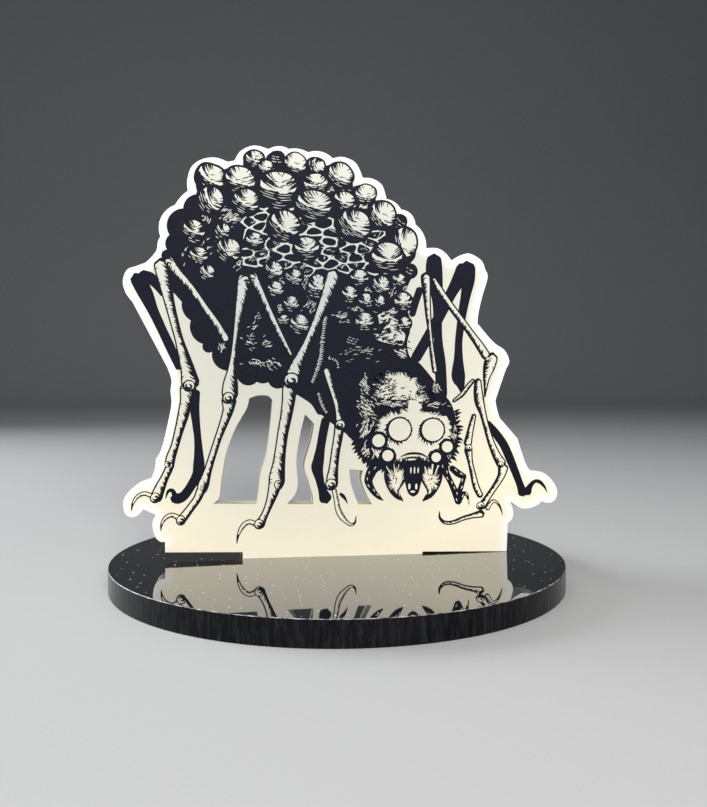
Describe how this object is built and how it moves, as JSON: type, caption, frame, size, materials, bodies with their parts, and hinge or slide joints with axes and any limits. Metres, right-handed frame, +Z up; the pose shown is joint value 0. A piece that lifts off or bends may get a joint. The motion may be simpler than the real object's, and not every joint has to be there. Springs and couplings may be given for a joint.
{
  "type": "acrylic spider standee",
  "caption": "Flat laser-cut acrylic spider figure with a printed face, standing by its tab in a slot in a round base.",
  "frame": {"origin": "centre of the round base's underside", "axes": "+Z up, away from the surface the base rests on; the figure's printed face looks along -Y; +X is to the right of someone looking at that face"},
  "size_m": [0.0604, 0.06, 0.0573],
  "materials": {
    "base_acrylic": "polished black acrylic with laser-cut edge",
    "figure_acrylic": "ivory opal acrylic, satin printed face, bright laser-cut edge",
    "ink": "cured black printing ink, slightly raised, satin"
  },
  "bodies": {
    "base": {"base_disc": "base_acrylic"},
    "figure": {"figure_plate": "figure_acrylic", "egg_mass_print": "ink", "thorax_print": "ink", "head_print": "ink", "eyes_print": "ink", "jaw_print": "ink", "near_leg_1_print": "ink", "near_leg_2_print": "ink", "near_leg_3_print": "ink", "near_leg_4_print": "ink", "near_leg_5_print": "ink", "near_leg_6_print": "ink", "near_leg_7_print": "ink", "far_leg_1_print": "ink", "far_leg_2_print": "ink", "far_leg_3_print": "ink", "far_leg_4_print": "ink", "far_leg_5_print": "ink"}
  },
  "joints": [
    {"name": "figure_lift", "type": "slide", "parent": "base", "child": "figure", "axis": [0, 0, 1], "range_m": [0, 0.005]}
  ]
}
